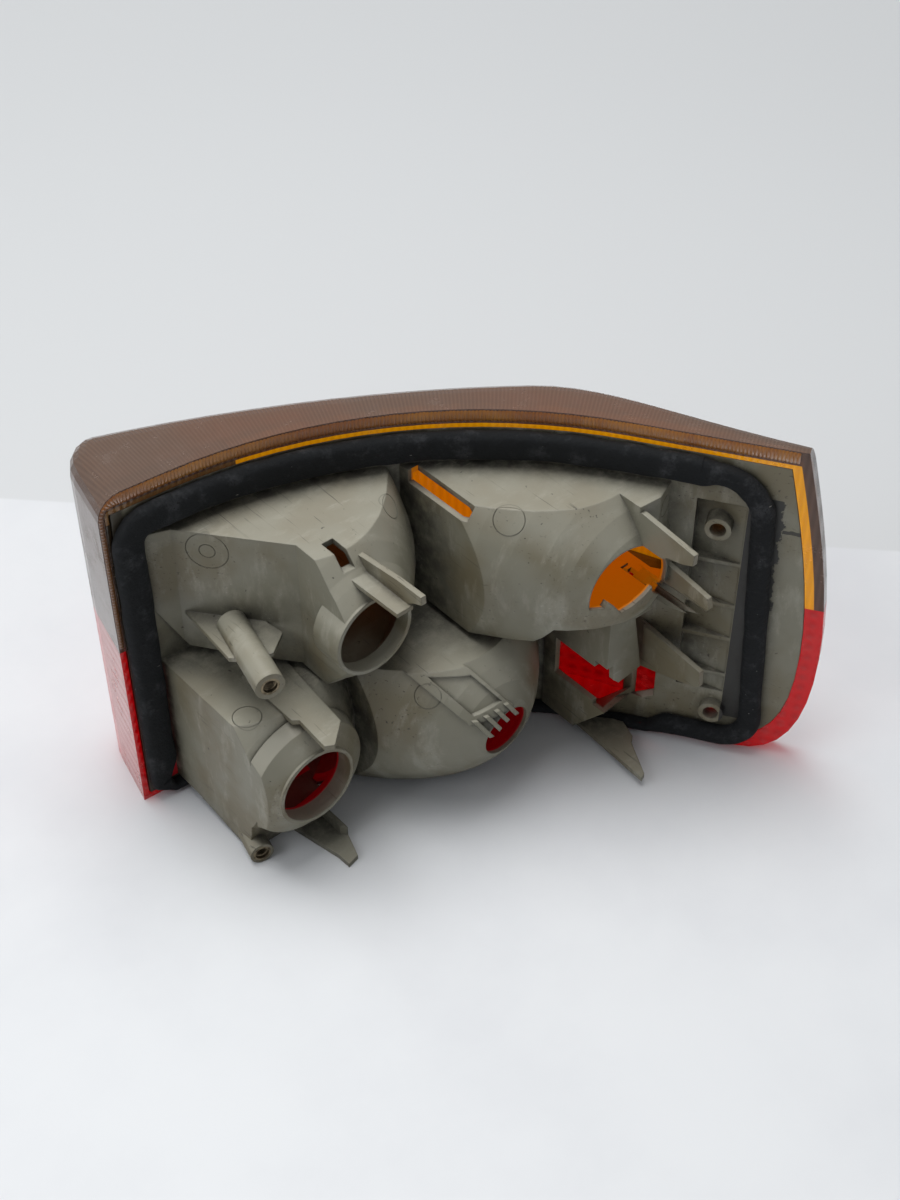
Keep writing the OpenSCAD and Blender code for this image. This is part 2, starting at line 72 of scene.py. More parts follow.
def beside(along, front, height):
    """Place in metres: so far along the line, in front of it and above the table, all in millimetres."""
    angle = heading(along)
    ahead = Vector((math.cos(angle), -math.sin(angle)))
    out = Vector((math.sin(angle), math.cos(angle)))
    if along <= LINE_IN:
        spot = LINE_START + along * ahead
    elif along < LINE_IN + BEND_LENGTH:
        spot = BEND_CENTRE + LINE_R * out
    else:
        spot = BEND_END + (along - LINE_IN - BEND_LENGTH) * ahead
    spot = spot + front * out
    return Vector((spot.x, spot.y, height)) * MM


def place(x, y, z):
    """Place in metres from millimetres measured from the inner end of the line."""
    return Vector((x + LINE_START.x, y + LINE_START.y, z)) * MM


print("the bend ends at", beside(LINE_IN + BEND_LENGTH, 0, 0))

# %% [markdown]
# A material is a small network of nodes. These helpers keep each one short: one adds a node and plugs it
# in, one gives a soft random pattern at a real size, one turns a value into a mask, and one blends colours.

# %% Helpers for materials
def linear(red, green, blue):
    """A colour seen on a screen, 0 to 255, as the light values that a shader needs."""
    shares = (red / 255, green / 255, blue / 255)
    return tuple(c / 12.92 if c <= 0.04045 else ((c + 0.055) / 1.055) ** 2.4 for c in shares) + (1,)


def new_material(name):
    material = bpy.data.materials.new(name)
    material.use_nodes = True
    return material, material.node_tree, material.node_tree.nodes["Principled BSDF"]


def plug(tree, socket, value):
    if isinstance(value, bpy.types.NodeSocket):
        tree.links.new(value, socket)
    else:
        socket.default_value = value


def add(tree, kind, inputs, **settings):
    made = tree.nodes.new("ShaderNode" + kind)
    for name, value in settings.items():
        setattr(made, name, value)
    for name, value in inputs.items():
        plug(tree, made.inputs[name], value)
    return made


def maths(tree, operation, first, second=0.0, third=0.0):
    return add(tree, "Math", {0: first, 1: second, 2: third}, operation=operation).outputs[0]


def object_place(tree):
    return add(tree, "TexCoord", {}).outputs["Object"]


def stretched(tree, where, scale, turn=(0, 0, 0)):
    return add(tree, "Mapping", {"Vector": where, "Scale": scale, "Rotation": turn}).outputs[0]


def cloudy(tree, where, size_mm, detail=4.0, roughness=0.6):
    """Random value about 0.5 whose patches are about this many millimetres wide."""
    return add(
        tree, "TexNoise", {"Vector": where, "Scale": 1000 / size_mm, "Detail": detail, "Roughness": roughness}
    ).outputs[0]


def mask(tree, value, start, end):
    """0 below start and 1 above end."""
    limits = {"Value": value, "From Min": start, "From Max": end}
    return add(tree, "MapRange", limits, interpolation_type="SMOOTHSTEP").outputs[0]


def mixed(tree, share, first, second):
    return add(tree, "Mix", {0: share, 6: first, 7: second}, data_type="RGBA").outputs[2]


def tinged(tree, colour, pattern, strength, other):
    """Brings in another colour where a pattern is 1, up to the given strength."""
    return mixed(tree, maths(tree, "MULTIPLY", pattern, strength), colour, other)


def bumped(tree, shader, *layers, edge=0.0):
    """Adds height patterns to a shader: pairs of a value and its height in millimetres.

    With an edge radius, sharp edges are shaded as if they were rounded.
    """
    normal = add(tree, "Bevel", {"Radius": edge * MM}, samples=4).outputs[0] if edge else None
    for value, height in layers:
        inputs = {"Height": value, "Distance": height * MM, "Strength": 1.0}
        if normal is not None:
            inputs["Normal"] = normal
        normal = add(tree, "Bump", inputs).outputs[0]
    tree.links.new(normal, shader.inputs["Normal"])


def wear(material, *names):
    """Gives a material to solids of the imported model."""
    for name in names:
        for slot in lamp[name].material_slots:
            slot.material = material
        print(name, "is now", material.name)


# %% [markdown]
# The flutes stand at right angles to the rim, so they turn with it round the bend. To draw them, the
# shader needs the distance along the line at each place. That distance is a sum of three clamped parts:
# how far along the first straight, how far round the arc, and how far along the second straight.

# %% Distance along the line, in a shader
def dot(tree, where, direction):
    return add(tree, "VectorMath", {0: where, 1: direction}, operation="DOT_PRODUCT").outputs["Value"]


def from_place(tree, where, origin):
    """The way to a place from a point of the line, in metres."""
    start = (origin.x * MM, origin.y * MM, 0)
    return add(tree, "VectorMath", {0: where, 1: start}, operation="SUBTRACT").outputs[0]


def along_line(tree, where):
    """Millimetres along the line at a place."""
    first = dot(tree, from_place(tree, where, LINE_START), (math.cos(LINE_TILT), -math.sin(LINE_TILT), 0))
    first = maths(tree, "MINIMUM", maths(tree, "MULTIPLY", first, 1000), LINE_IN)
    arm = from_place(tree, where, BEND_CENTRE)
    ahead = dot(tree, arm, (math.cos(LINE_TILT), -math.sin(LINE_TILT), 0))
    out = dot(tree, arm, (math.sin(LINE_TILT), math.cos(LINE_TILT), 0))
    angle = maths(tree, "ARCTAN2", ahead, out)
    angle = maths(tree, "MINIMUM", maths(tree, "MAXIMUM", angle, 0), LINE_TURN)
    last = dot(tree, from_place(tree, where, BEND_END), (math.cos(END_ANGLE), -math.sin(END_ANGLE), 0))
    last = maths(tree, "MAXIMUM", maths(tree, "MULTIPLY", last, 1000), 0)
    return maths(tree, "ADD", maths(tree, "MULTIPLY_ADD", angle, LINE_R, first), last)


def apart(tree, where, middle):
    """How far a place lies from a middle, along X, Y and Z, in millimetres."""
    arm = add(tree, "VectorMath", {0: where, 1: middle}, operation="SUBTRACT").outputs[0]
    arm = add(tree, "VectorMath", {0: arm, "Scale": 1000}, operation="SCALE").outputs[0]
    return add(tree, "SeparateXYZ", {0: arm}).outputs


def height_mm(tree, where):
    return apart(tree, where, (0, 0, 0))[2]


def within(tree, value, low, high):
    """1 between two limits and 0 outside them."""
    return maths(tree, "COMPARE", value, (low + high) / 2, (high - low) / 2)


def facing_up(tree, start=0.35, end=0.6):
    """1 on the faces that look at the sky."""
    skyward = add(tree, "SeparateXYZ", {0: add(tree, "TexCoord", {}).outputs["Normal"]}).outputs[2]
    return mask(tree, skyward, start, end)


def waves(tree, value, pitch):
    """A smooth ripple from 0 to 1 that repeats at a pitch."""
    ripple = maths(tree, "SINE", maths(tree, "MULTIPLY", value, 2 * math.pi / pitch))
    return maths(tree, "MULTIPLY_ADD", ripple, 0.5, 0.5)


# %% [markdown]
# Each bulb sits in a bowl that is shaped like a dish for light. Seen through its hole, the inside of a real
# bowl is lit by light that crossed the lens in front of it, so it glows in that lens's colour, while its
# outside is grey. Here that coloured light is painted on by place, as colour with a little light of its own.
# The dish is a paraboloid, so the shader can tell its two sides apart: an inner place lies deeper than the
# wall is thick, and its face looks towards the bulb. The numbers of each dish are its axis, the place of its
# tip, and the part of it that is painted with the glow.

# %% Which places are inside a bowl
DISH_CURVE = 56
WALL_FADE = (1.3, 1.9)
BULB_DEPTH = 30


def inside_bowl(tree, where, axis, tip, across, upward):
    """1 on the inner wall of a dish, between the given distances from its axis."""
    x, y, z = apart(tree, where, place(axis[0], tip, axis[1]))
    reach = maths(tree, "ADD", maths(tree, "MULTIPLY", x, x), maths(tree, "MULTIPLY", z, z))
    depth = maths(tree, "SUBTRACT", y, maths(tree, "DIVIDE", reach, DISH_CURVE))
    inner = mask(tree, depth, *WALL_FADE)
    bulb = place(axis[0], tip + BULB_DEPTH, axis[1])
    to_bulb = add(tree, "VectorMath", {0: bulb, 1: where}, operation="SUBTRACT").outputs[0]
    faced = dot(tree, to_bulb, add(tree, "TexCoord", {}).outputs["Normal"])
    inner = maths(tree, "MULTIPLY", inner, maths(tree, "GREATER_THAN", faced, 0.0))
    inner = maths(tree, "MULTIPLY", inner, within(tree, x, *across))
    return maths(tree, "MULTIPLY", inner, within(tree, z, *upward))


AMBER_BOWL = ((144, 86), -102.5, (-41.5, 22), (-19, 31))
RED_BOWLS = [((33, 36), -61, (-22, 19), (-31, 24)), ((99.5, 35), -84, (-6, 40), (-31, 18))]

# %% [markdown]
# The mould pushed the lamp's back out with round pins, and each pin left a faint ring. A ring is every place
# at one distance from a centre, so one distance node draws it, whatever the shape of the wall. Each mark is
# written as its centre and its radius, in millimetres.

# %% Pin marks
RING_HALF = 0.17
PIN_MARKS = [
    ((30.2, -13.1, 109.8), 7.2),
    ((30.2, -13.1, 109.8), 2.7),
    ((20.6, -42.3, 62.0), 4.9),
    ((77.0, -68.0, 54.5), 4.6),
    ((111.4, -69.1, 114.2), 5.3),
    ((159.7, -93.5, 109.6), 3.8),
    ((86.3, -38.4, 114.5), 4.4),
]


def pin_rings(tree, where):
    rings = 0.0
    for centre, radius in PIN_MARKS:
        away = add(tree, "VectorMath", {0: where, 1: place(*centre)}, operation="DISTANCE").outputs["Value"]
        ring = maths(tree, "COMPARE", maths(tree, "MULTIPLY", away, 1000), radius, RING_HALF)
        rings = maths(tree, "MAXIMUM", rings, ring)
    return rings


# %% [markdown]
# The back of the lamp is one moulding of pale grey plastic that has yellowed a little. Its skin is nearly
# smooth, with a faint grain from the mould. Years in the car have left dust in the corners and dull smears on
# the broad faces. The corners are also painted darker as shade: a shader can find them by itself with an
# ambient occlusion node, so the dust and the painted shade gather there wherever the shape has one. Faces
# that look up are painted paler, as a painted highlight. Moulded edges are a little round, which a bevel node
# shows without any change of shape. Beside the seal lies a ragged black band.

# %% The grey moulding
HOUSING_GREY = linear(124, 121, 105)
HOUSING_WARM = linear(110, 102, 80)
PALE_WEAR_AND_TOP_LIGHT = linear(164, 161, 147)
GRIME_AND_SHADE = linear(34, 31, 26)
SEAL_BAND_BLACK = linear(20, 20, 22)
INNER_END_BROWN = linear(46, 38, 28)
SMEAR_BLACK = linear(28, 26, 26)
GLOW_AMBER = linear(200, 118, 4)
GLOW_RED = linear(150, 4, 16)
AMBER_LIGHT = 0.22
RED_LIGHT = 0.1
SEAL_EDGE = 236.4
BAND_THINS = 0.11
BAND_BEFORE = 12
BAND_AFTER = 6
BAND_HEIGHTS = (14, 117)
INNER_END_RUN = (8.0, 9.5)
SMEAR_WAVE = 2.4
SMEAR_HEIGHTS = (104.6, 106)

housing_plastic, tree, shader = new_material("housing_plastic")
where = object_place(tree)
patches = mask(tree, cloudy(tree, where, 38, 3), 0.42, 0.62)
colour = mixed(tree, patches, HOUSING_GREY, HOUSING_WARM)
streaked = stretched(tree, where, (1, 2.2, 0.7), (0.4, 0.2, 0.6))
smears = mask(tree, cloudy(tree, streaked, 14, 6, 0.65), 0.5, 0.7)
colour = tinged(tree, colour, smears, 0.4, PALE_WEAR_AND_TOP_LIGHT)
# Faces that look up are painted paler: a painted highlight of the light from above.
colour = tinged(tree, colour, facing_up(tree), 0.45, PALE_WEAR_AND_TOP_LIGHT)
# Corners are painted darker: partly dust, partly painted shade where less light reaches.
corners = add(tree, "AmbientOcclusion", {"Distance": 0.02}, samples=8).outputs["AO"]
corner_dust_and_shade = maths(tree, "SUBTRACT", 1.0, mask(tree, corners, 0.2, 0.9))
corner_dust_and_shade = maths(tree, "MULTIPLY", corner_dust_and_shade, mask(tree, cloudy(tree, where, 9, 6, 0.7), 0.2, 0.65))
colour = tinged(tree, colour, corner_dust_and_shade, 0.85, GRIME_AND_SHADE)
rubs = cloudy(tree, stretched(tree, where, (0.12, 2.2, 2.2), (0.3, 0.5, 0.7)), 1.6, 2, 0.5)
scratches = maths(tree, "MULTIPLY", mask(tree, rubs, 0.64, 0.68), smears)
colour = tinged(tree, colour, scratches, 0.5, PALE_WEAR_AND_TOP_LIGHT)
scores = cloudy(tree, stretched(tree, where, (2.4, 0.1, 2.4), (0.9, 0.1, 0.4)), 2.2, 2, 0.5)
scores = maths(tree, "MULTIPLY", mask(tree, scores, 0.66, 0.69), patches)
colour = tinged(tree, colour, scores, 0.55, GRIME_AND_SHADE)
specks = mask(tree, cloudy(tree, where, 2.4, 2, 0.5), 0.73, 0.77)
colour = tinged(tree, colour, specks, 0.65, GRIME_AND_SHADE)
rings = pin_rings(tree, where)
# Along each pin ring the wall is painted darker, as painted shade in its fine groove.
colour = tinged(tree, colour, rings, 0.22, GRIME_AND_SHADE)
run = along_line(tree, where)
# Beside the seal, a ragged black band is painted on.
off_seal = maths(tree, "MULTIPLY_ADD", run, -BAND_THINS, SEAL_EDGE * BAND_THINS)
seal_band = mask(tree, maths(tree, "ADD", cloudy(tree, where, 5, 5, 0.7), off_seal), 0.5, 0.56)
seal_band = maths(tree, "MULTIPLY", seal_band, within(tree, run, SEAL_EDGE - BAND_BEFORE, SEAL_EDGE + BAND_AFTER))
seal_band = maths(tree, "MULTIPLY", seal_band, within(tree, height_mm(tree, where), *BAND_HEIGHTS))
colour = tinged(tree, colour, seal_band, 0.9, SEAL_BAND_BLACK)
# The first few millimetres along the line, at the lamp's inner end, are painted darker and browner.
inner_end_dark = maths(tree, "SUBTRACT", 1.0, mask(tree, run, *INNER_END_RUN))
colour = tinged(tree, colour, inner_end_dark, 0.8, INNER_END_BROWN)
wavy_height = maths(tree, "MULTIPLY_ADD", cloudy(tree, where, 6, 4), SMEAR_WAVE, height_mm(tree, where))
smear = within(tree, wavy_height, *SMEAR_HEIGHTS)
smear = maths(tree, "MULTIPLY", smear, maths(tree, "GREATER_THAN", run, SEAL_EDGE))
colour = tinged(tree, colour, smear, 0.85, SMEAR_BLACK)
# Inside the bowls, the light through the lenses is painted on: its colour and a little light of its own.
amber_inside = inside_bowl(tree, where, *AMBER_BOWL)
red_inside = maths(tree, "MAXIMUM", *[inside_bowl(tree, where, *bowl) for bowl in RED_BOWLS])
colour = mixed(tree, amber_inside, colour, GLOW_AMBER)
colour = mixed(tree, red_inside, colour, GLOW_RED)
tree.links.new(colour, shader.inputs["Base Color"])
tree.links.new(colour, shader.inputs["Emission Color"])
red_glow = maths(tree, "MULTIPLY", red_inside, RED_LIGHT)
glowing = maths(tree, "MULTIPLY_ADD", amber_inside, AMBER_LIGHT, red_glow)
tree.links.new(glowing, shader.inputs["Emission Strength"])
rough = maths(tree, "MULTIPLY_ADD", cloudy(tree, where, 20, 5), 0.3, 0.3)
tree.links.new(maths(tree, "MULTIPLY_ADD", corner_dust_and_shade, 0.2, rough), shader.inputs["Roughness"])
bumped(
    tree,
    shader,
    (cloudy(tree, where, 1.1, 3), 0.03),
    (cloudy(tree, where, 16, 3), 0.4),
    (scratches, 0.02),
    (rings, -0.08),
    edge=0.7,
)
wear(housing_plastic, "housing")

# %% [markdown]
# The outer lens is clear plastic with a tint. Real light crosses it and is stained, which is why the bulb
# holes glow amber and red in the photograph. A glass shader bends light properly, but lamps can't
# shine through it, so a second, plainly see-through shader takes most of its place for the rays that look for
# lamps. The lens's left side is a little hazy, and towards its foot a pale reflection is painted on it.
#
# A pattern on the plastic is a list of layers. Each layer has a value, its height in millimetres, the most of
# its own colour that it brings in, and that colour.

# %% Tinted clear plastic
LENS_DUST = linear(150, 140, 132)
FLANK_HAZE_AND_REFLECTION = linear(176, 172, 168)
FLANK_LOOKS = (-0.99, -0.93)
FLANK_HEIGHTS = (70, 125)
LENS_ROUGH = 0.15
LENS_HAZE = 0.35
LENS_IOR = 1.49


def tinted(name, tint, passed, shine_through, layers, glow=0.0):
    """Clear plastic: tint is the colour that is seen, and passed the light that is let through."""
    material, tree, shader = new_material(name)
    where = object_place(tree)
    dust = mask(tree, cloudy(tree, where, 12, 6, 0.7), 0.45, 0.8)
    colour = tinged(tree, linear(*tint), dust, 0.12, LENS_DUST)
    sideways = add(tree, "SeparateXYZ", {0: add(tree, "TexCoord", {}).outputs["Normal"]}).outputs[0]
    flank = maths(tree, "SUBTRACT", 1.0, mask(tree, sideways, *FLANK_LOOKS))
    low = maths(tree, "SUBTRACT", 1.0, mask(tree, height_mm(tree, where), *FLANK_HEIGHTS))
    # Low on the left side, a painted pale reflection lies over the slightly hazy plastic.
    colour = tinged(tree, colour, maths(tree, "MULTIPLY", flank, low), 0.65, FLANK_HAZE_AND_REFLECTION)
    plain = maths(tree, "SUBTRACT", 1.0, flank)
    heights = [(maths(tree, "MULTIPLY", value, plain), *rest) for value, *rest in layers(tree, where)]
    for value, _, share, shade in heights:
        colour = tinged(tree, colour, value, share, linear(*shade))
    tree.links.new(colour, shader.inputs["Base Color"])
    tree.links.new(maths(tree, "MULTIPLY_ADD", dust, 0.25, LENS_ROUGH), shader.inputs["Roughness"])
    shader.inputs["Transmission Weight"].default_value = shine_through
    shader.inputs["Specular IOR Level"].default_value = 0.4
    shader.inputs["IOR"].default_value = LENS_IOR
    tree.links.new(colour, shader.inputs["Emission Color"])
    shader.inputs["Emission Strength"].default_value = glow
    bumped(tree, shader, *[(value, height) for value, height, _, _ in heights])
    clear = add(tree, "BsdfTransparent", {"Color": linear(*passed)})
    sight = add(tree, "LightPath", {}).outputs["Is Shadow Ray"]
    share = maths(tree, "MULTIPLY", sight, 1 - LENS_HAZE)
    out = add(tree, "MixShader", {0: share, 1: shader.outputs[0], 2: clear.outputs[0]})
    tree.links.new(out.outputs[0], tree.nodes["Material Output"].inputs["Surface"])
    return material


FLUTE_PITCH = 1.25
PILLOW = 5.0
SHADED_RUN = (92, 102)
SHADED_TOP = 127


def fine_flutes(tree, where):
    flutes = maths(tree, "MULTIPLY", waves(tree, along_line(tree, where), FLUTE_PITCH), facing_up(tree))
    blush = mask(tree, cloudy(tree, where, 60, 3), 0.4, 0.65)
    upright = maths(tree, "SUBTRACT", 1.0, facing_up(tree))
    prisms = maths(tree, "MULTIPLY", waves(tree, along_line(tree, where), PILLOW / 2), upright)
    return [
        (flutes, 0.07, 0.22, (66, 50, 44)),
        (blush, 0.1, 0.25, (138, 88, 62)),
        # Upright faces are painted darker than the top, as painted shade.
        (upright, 0.0, 0.45, (84, 50, 38)),
        (prisms, 0.16, 0.3, (52, 32, 26)),
    ]


def pillows(tree, where):
    across = waves(tree, along_line(tree, where), PILLOW)
    upward = waves(tree, height_mm(tree, where), PILLOW)
    return [(maths(tree, "MULTIPLY", across, upward), 0.5, 0.25, (90, 0, 8))]


def amber_ripples(tree, where):
    run = along_line(tree, where)
    across = waves(tree, run, PILLOW / 2)
    mottle = cloudy(tree, where, 5, 3)
    shaded = maths(tree, "SUBTRACT", 1.0, mask(tree, run, *SHADED_RUN))
    shaded = maths(tree, "MULTIPLY", shaded, maths(tree, "LESS_THAN", height_mm(tree, where), SHADED_TOP))
    return [
        (across, 0.2, 0.2, (170, 90, 0)),
        (mottle, 0.1, 0.25, (225, 140, 10)),
        (shaded, 0.0, 0.9, (52, 46, 36)),
    ]


# The amber and red lenses get a little light of their own, a painted glow for the light that shines through
# them.
wear(tinted("smoked_lens", (122, 100, 86), (200, 160, 140), 0.35, fine_flutes), "lens_smoke")
wear(tinted("amber_lens", (238, 168, 6), (255, 200, 70), 0.25, amber_ripples, glow=0.2), "lens_amber")
wear(tinted("clear_lens", (150, 122, 84), (240, 240, 236), 0.5, amber_ripples), "lens_clear")
wear(tinted("red_lens", (206, 3, 12), (255, 60, 55), 0.35, pillows, glow=0.1), "lens_red")

# %% [markdown]
# The seal is a strip of black foam that was pressed against the car's body. Foam is full of tiny cells, it is
# scuffed paler in places, with paler patches that also stand in for its sheen as a painted highlight, and it
# never lies quite straight. So the plain solid is copied, its faces are split finely, and each point is moved
# a little by smooth noise, which keeps it close to where the solid lies.

# %% The foam seal
FOAM_SWELL = 0.6
LUMP_SIZE = 11
LUMP_SHARE = 0.7
DENT_SIZE = 3.5
DENT_SHARE = 0.3

seal_foam, tree, shader = new_material("seal_foam")
where = object_place(tree)
# The paler patches are scuffs, and also a painted highlight of the foam's sheen.
scuffs_and_sheen = mask(tree, cloudy(tree, where, 9, 6, 0.7), 0.5, 0.75)
colour = mixed(tree, scuffs_and_sheen, linear(19, 21, 23), linear(54, 55, 57))
cells = cloudy(tree, where, 0.9, 3, 0.7)
colour = mixed(tree, mask(tree, cells, 0.55, 0.7), colour, linear(11, 12, 13))
flecks = mask(tree, cloudy(tree, stretched(tree, where, (0.5, 2, 2)), 3.2, 2, 0.5), 0.74, 0.78)
colour = mixed(tree, flecks, colour, linear(132, 130, 126))
tree.links.new(colour, shader.inputs["Base Color"])
shader.inputs["Roughness"].default_value = 0.86
shader.inputs["Specular IOR Level"].default_value = 0.3
bumped(tree, shader, (cells, 0.18), (cloudy(tree, where, 5, 4), 0.8))


def copy_of(node):
    """A merged copy of a solid's mesh, to be shaped further."""
    shape = bmesh.new()
    shape.from_mesh(lamp[node].data)
    bmesh.ops.remove_doubles(shape, verts=shape.verts, dist=1e-6)
    return shape


def finish_piece(shape, name, material, body="root", smooth=False):
    """Turns a bmesh into an object at the origin that rides on the lamp."""
    mesh = bpy.data.meshes.new(name)
    shape.to_mesh(mesh)
    shape.free()
    for face in mesh.polygons:
        face.use_smooth = smooth
    piece = bpy.data.objects.new(name, mesh)
    bpy.context.collection.objects.link(piece)
    mesh.materials.append(material)
    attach(piece, body)
    print(name, len(mesh.polygons), "faces")
    return piece


foam = copy_of("gasket")
bmesh.ops.subdivide_edges(foam, edges=foam.edges[:], cuts=2, use_grid_fill=True)
for _ in range(2):
    bmesh.ops.smooth_vert(
        foam, verts=foam.verts, factor=0.4, use_axis_x=True, use_axis_y=True, use_axis_z=True
    )
foam.normal_update()
for vert in foam.verts:
    lump = noise.noise(vert.co / (LUMP_SIZE * MM)) * LUMP_SHARE
    dent = noise.noise(vert.co / (DENT_SIZE * MM)) * DENT_SHARE
    vert.co += vert.normal * ((lump + dent) * FOAM_SWELL * MM)
foam_seal = finish_piece(foam, "foam_seal", seal_foam, smooth=True)
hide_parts("gasket")

# %% [markdown]
# The pin marks also stand up from the wall by a hair, so each one gets a thin bead. A circle of vertices is
# laid on the wall by moving each vertex to the nearest place of the housing's skin, and the closed wire is
# then given a round thickness, as a curve is.

# %% Beads of the pin marks
BEAD_STEPS = 48
BEAD_R = 0.13

skin = BVHTree.FromBMesh(copy_of("housing"))


def pin_bead(name, centre, radius):
    spot, normal = skin.find_nearest(place(*centre))[:2]
    side = normal.orthogonal().normalized()
    up = normal.cross(side)
    wire = bpy.data.curves.new(name, "CURVE")
    wire.dimensions = "3D"
    wire.bevel_depth = BEAD_R * MM
    wire.bevel_resolution = 1
    path = wire.splines.new("POLY")
    path.points.add(BEAD_STEPS - 1)
    path.use_cyclic_u = True
    for step, point in enumerate(path.points):
        angle = 2 * math.pi * step / BEAD_STEPS
        rim_spot = spot + (side * math.cos(angle) + up * math.sin(angle)) * radius * MM
        point.co = (*skin.find_nearest(rim_spot)[0], 1)
    bead = bpy.data.objects.new(name, wire)
    bpy.context.collection.objects.link(bead)
    wire.materials.append(housing_plastic)
    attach(bead, "root")


for number, (centre, radius) in enumerate(PIN_MARKS, start=1):
    pin_bead(f"pin_mark_{number}", centre, radius)

# %% [markdown]
# The smoked lens ends at the back in a narrow rim with ribs, which looks amber because light comes through
# it from the front. Its ribs are too fine for the lens's own solid, so they are a piece of their own. A flat
# grid is bent into place: one of its directions runs along the top of the rim, round the corner and down the
# left side, and the other runs across the rim. Each point is then pulled out by the rib that it is on.

# %% The ribbed rim of the smoked lens
RIM_END = 238.5
CORNER_AT = (9.0, 129.0)
CORNER_R = 8.0
RIM_FOOT = 75.0
RIM_OUT = 8.8
TOP_IN = 3.9
SIDE_IN = 6.9
RIM_BASE = 0.15
CROWN_TALL = 0.3
RIB_TALL = 0.42
RIB_STEPS = 5
RIM_STRIPS = 7
TOP_RUN = RIM_END - CORNER_AT[0]
CORNER_RUN = CORNER_R * math.pi / 2
RIM_RUN = TOP_RUN + CORNER_RUN + CORNER_AT[1] - RIM_FOOT
RIBS = int(RIM_RUN / FLUTE_PITCH)


def rim_point(run, across):
    """Distance along the line and height, from the way along the rim and the share of the way across it."""
    if run < TOP_RUN:
        return RIM_END - run, CORNER_AT[1] + TOP_IN + across * (RIM_OUT - TOP_IN)
    if run < TOP_RUN + CORNER_RUN:
        angle = math.pi / 2 + (run - TOP_RUN) / CORNER_RUN * math.pi / 2
        inner = min(SIDE_IN, TOP_IN / max(math.sin(angle), 0.01))
        r = inner + across * (RIM_OUT - inner)
        return CORNER_AT[0] + r * math.cos(angle), CORNER_AT[1] + r * math.sin(angle)
    down = run - TOP_RUN - CORNER_RUN
    return CORNER_AT[0] - SIDE_IN - across * (RIM_OUT - SIDE_IN), CORNER_AT[1] - down


rim = bmesh.new()
bmesh.ops.create_grid(rim, x_segments=RIBS * RIB_STEPS, y_segments=RIM_STRIPS, size=1)
for vert in rim.verts:
    run = (vert.co.x + 1) / 2 * RIM_RUN
    across = (vert.co.y + 1) / 2
    crown = math.sin(math.pi * across) ** 0.5 if 0 < across < 1 else 0
    rib = abs(math.sin(math.pi * run / FLUTE_PITCH))
    along, height = rim_point(run, across)
    vert.co = beside(along, RIM_BASE - crown * (CROWN_TALL + RIB_TALL * rib), height)
bmesh.ops.recalc_face_normals(rim, faces=rim.faces)

rib_amber, tree, shader = new_material("rib_amber")
where = object_place(tree)
shade = mask(tree, cloudy(tree, where, 26, 4), 0.35, 0.65)
colour = mixed(tree, shade, linear(168, 110, 38), linear(140, 82, 36))
# Low on the rim, next to the amber strip, it is painted darker: the painted shadow of the gap there.
low = maths(tree, "SUBTRACT", 1.0, mask(tree, height_mm(tree, where), 132.4, 134.6))
colour = tinged(tree, colour, low, 0.6, linear(58, 34, 34))
tree.links.new(colour, shader.inputs["Base Color"])
shader.inputs["Roughness"].default_value = 0.28
shader.inputs["Transmission Weight"].default_value = 0.15
shader.inputs["IOR"].default_value = LENS_IOR
bumped(tree, shader, (cloudy(tree, where, 1.5, 3), 0.03))
rim_flutes = finish_piece(rim, "rim_flutes", rib_amber, smooth=True)

# %% [markdown]
# Two brass bushes take the screws that hold the lamp. Each has a thread in its bore. The thread is a small
# three-cornered section that is spun round the bore's axis while it climbs, which is what a lathe does.

# %% Brass bushes and their threads
brass, tree, shader = new_material("aged_brass")
where = object_place(tree)
tarnish = mask(tree, cloudy(tree, where, 3, 5), 0.4, 0.7)
colour = mixed(tree, tarnish, linear(132, 120, 98), linear(74, 66, 52))
tree.links.new(colour, shader.inputs["Base Color"])
shader.inputs["Metallic"].default_value = 0.9
tree.links.new(maths(tree, "MULTIPLY_ADD", tarnish, 0.3, 0.35), shader.inputs["Roughness"])
bumped(tree, shader, (cloudy(tree, where, 0.8, 3), 0.04))
wear(brass, "insert_upper", "insert_lower")

# %% Threads in the bushes
BUSH_TURN = math.radians(14)
BUSH_AXIS = Vector((-math.sin(BUSH_TURN), -math.cos(BUSH_TURN), 0))
BUSH_DEPTH = 9.0
BORE_R = 2.5
THREAD_PITCH = 0.8
THREAD_TALL = 0.42
THREAD_HALF = 0.3
THREAD_ROOT = BORE_R + 0.1
THREAD_LIFT = 0.4
THREAD_SPARE = 1.6
TURN_STEPS = 24


def thread(name, mouth):
    """A three-cornered ridge that climbs round the bore, from its bottom to its mouth."""
    axis_end = place(*mouth) - BUSH_AXIS * (BUSH_DEPTH - THREAD_HALF) * MM
    outward = Vector((0, 0, 1))
    ridge = bmesh.new()
    section = [(THREAD_ROOT, -THREAD_HALF), (BORE_R - THREAD_TALL, 0), (THREAD_ROOT, THREAD_HALF)]
    corners = []
    for r, rise in section:
        spot = axis_end + (outward * r + BUSH_AXIS * (rise + THREAD_LIFT)) * MM
        corners.append(ridge.verts.new(spot))
    start = ridge.faces.new(corners)
    turns = int((BUSH_DEPTH - THREAD_SPARE) / THREAD_PITCH)
    bmesh.ops.spin(
        ridge,
        geom=[start],
        cent=axis_end,
        axis=BUSH_AXIS,
        dvec=BUSH_AXIS * (THREAD_PITCH / TURN_STEPS * MM),
        angle=2 * math.pi * turns,
        steps=TURN_STEPS * turns,
    )
    bmesh.ops.recalc_face_normals(ridge, faces=ridge.faces)
    piece = finish_piece(ridge, name, brass)


thread("thread_upper", (23.9, -53, 82))
thread("thread_lower", (15.5, -51, 4.4))

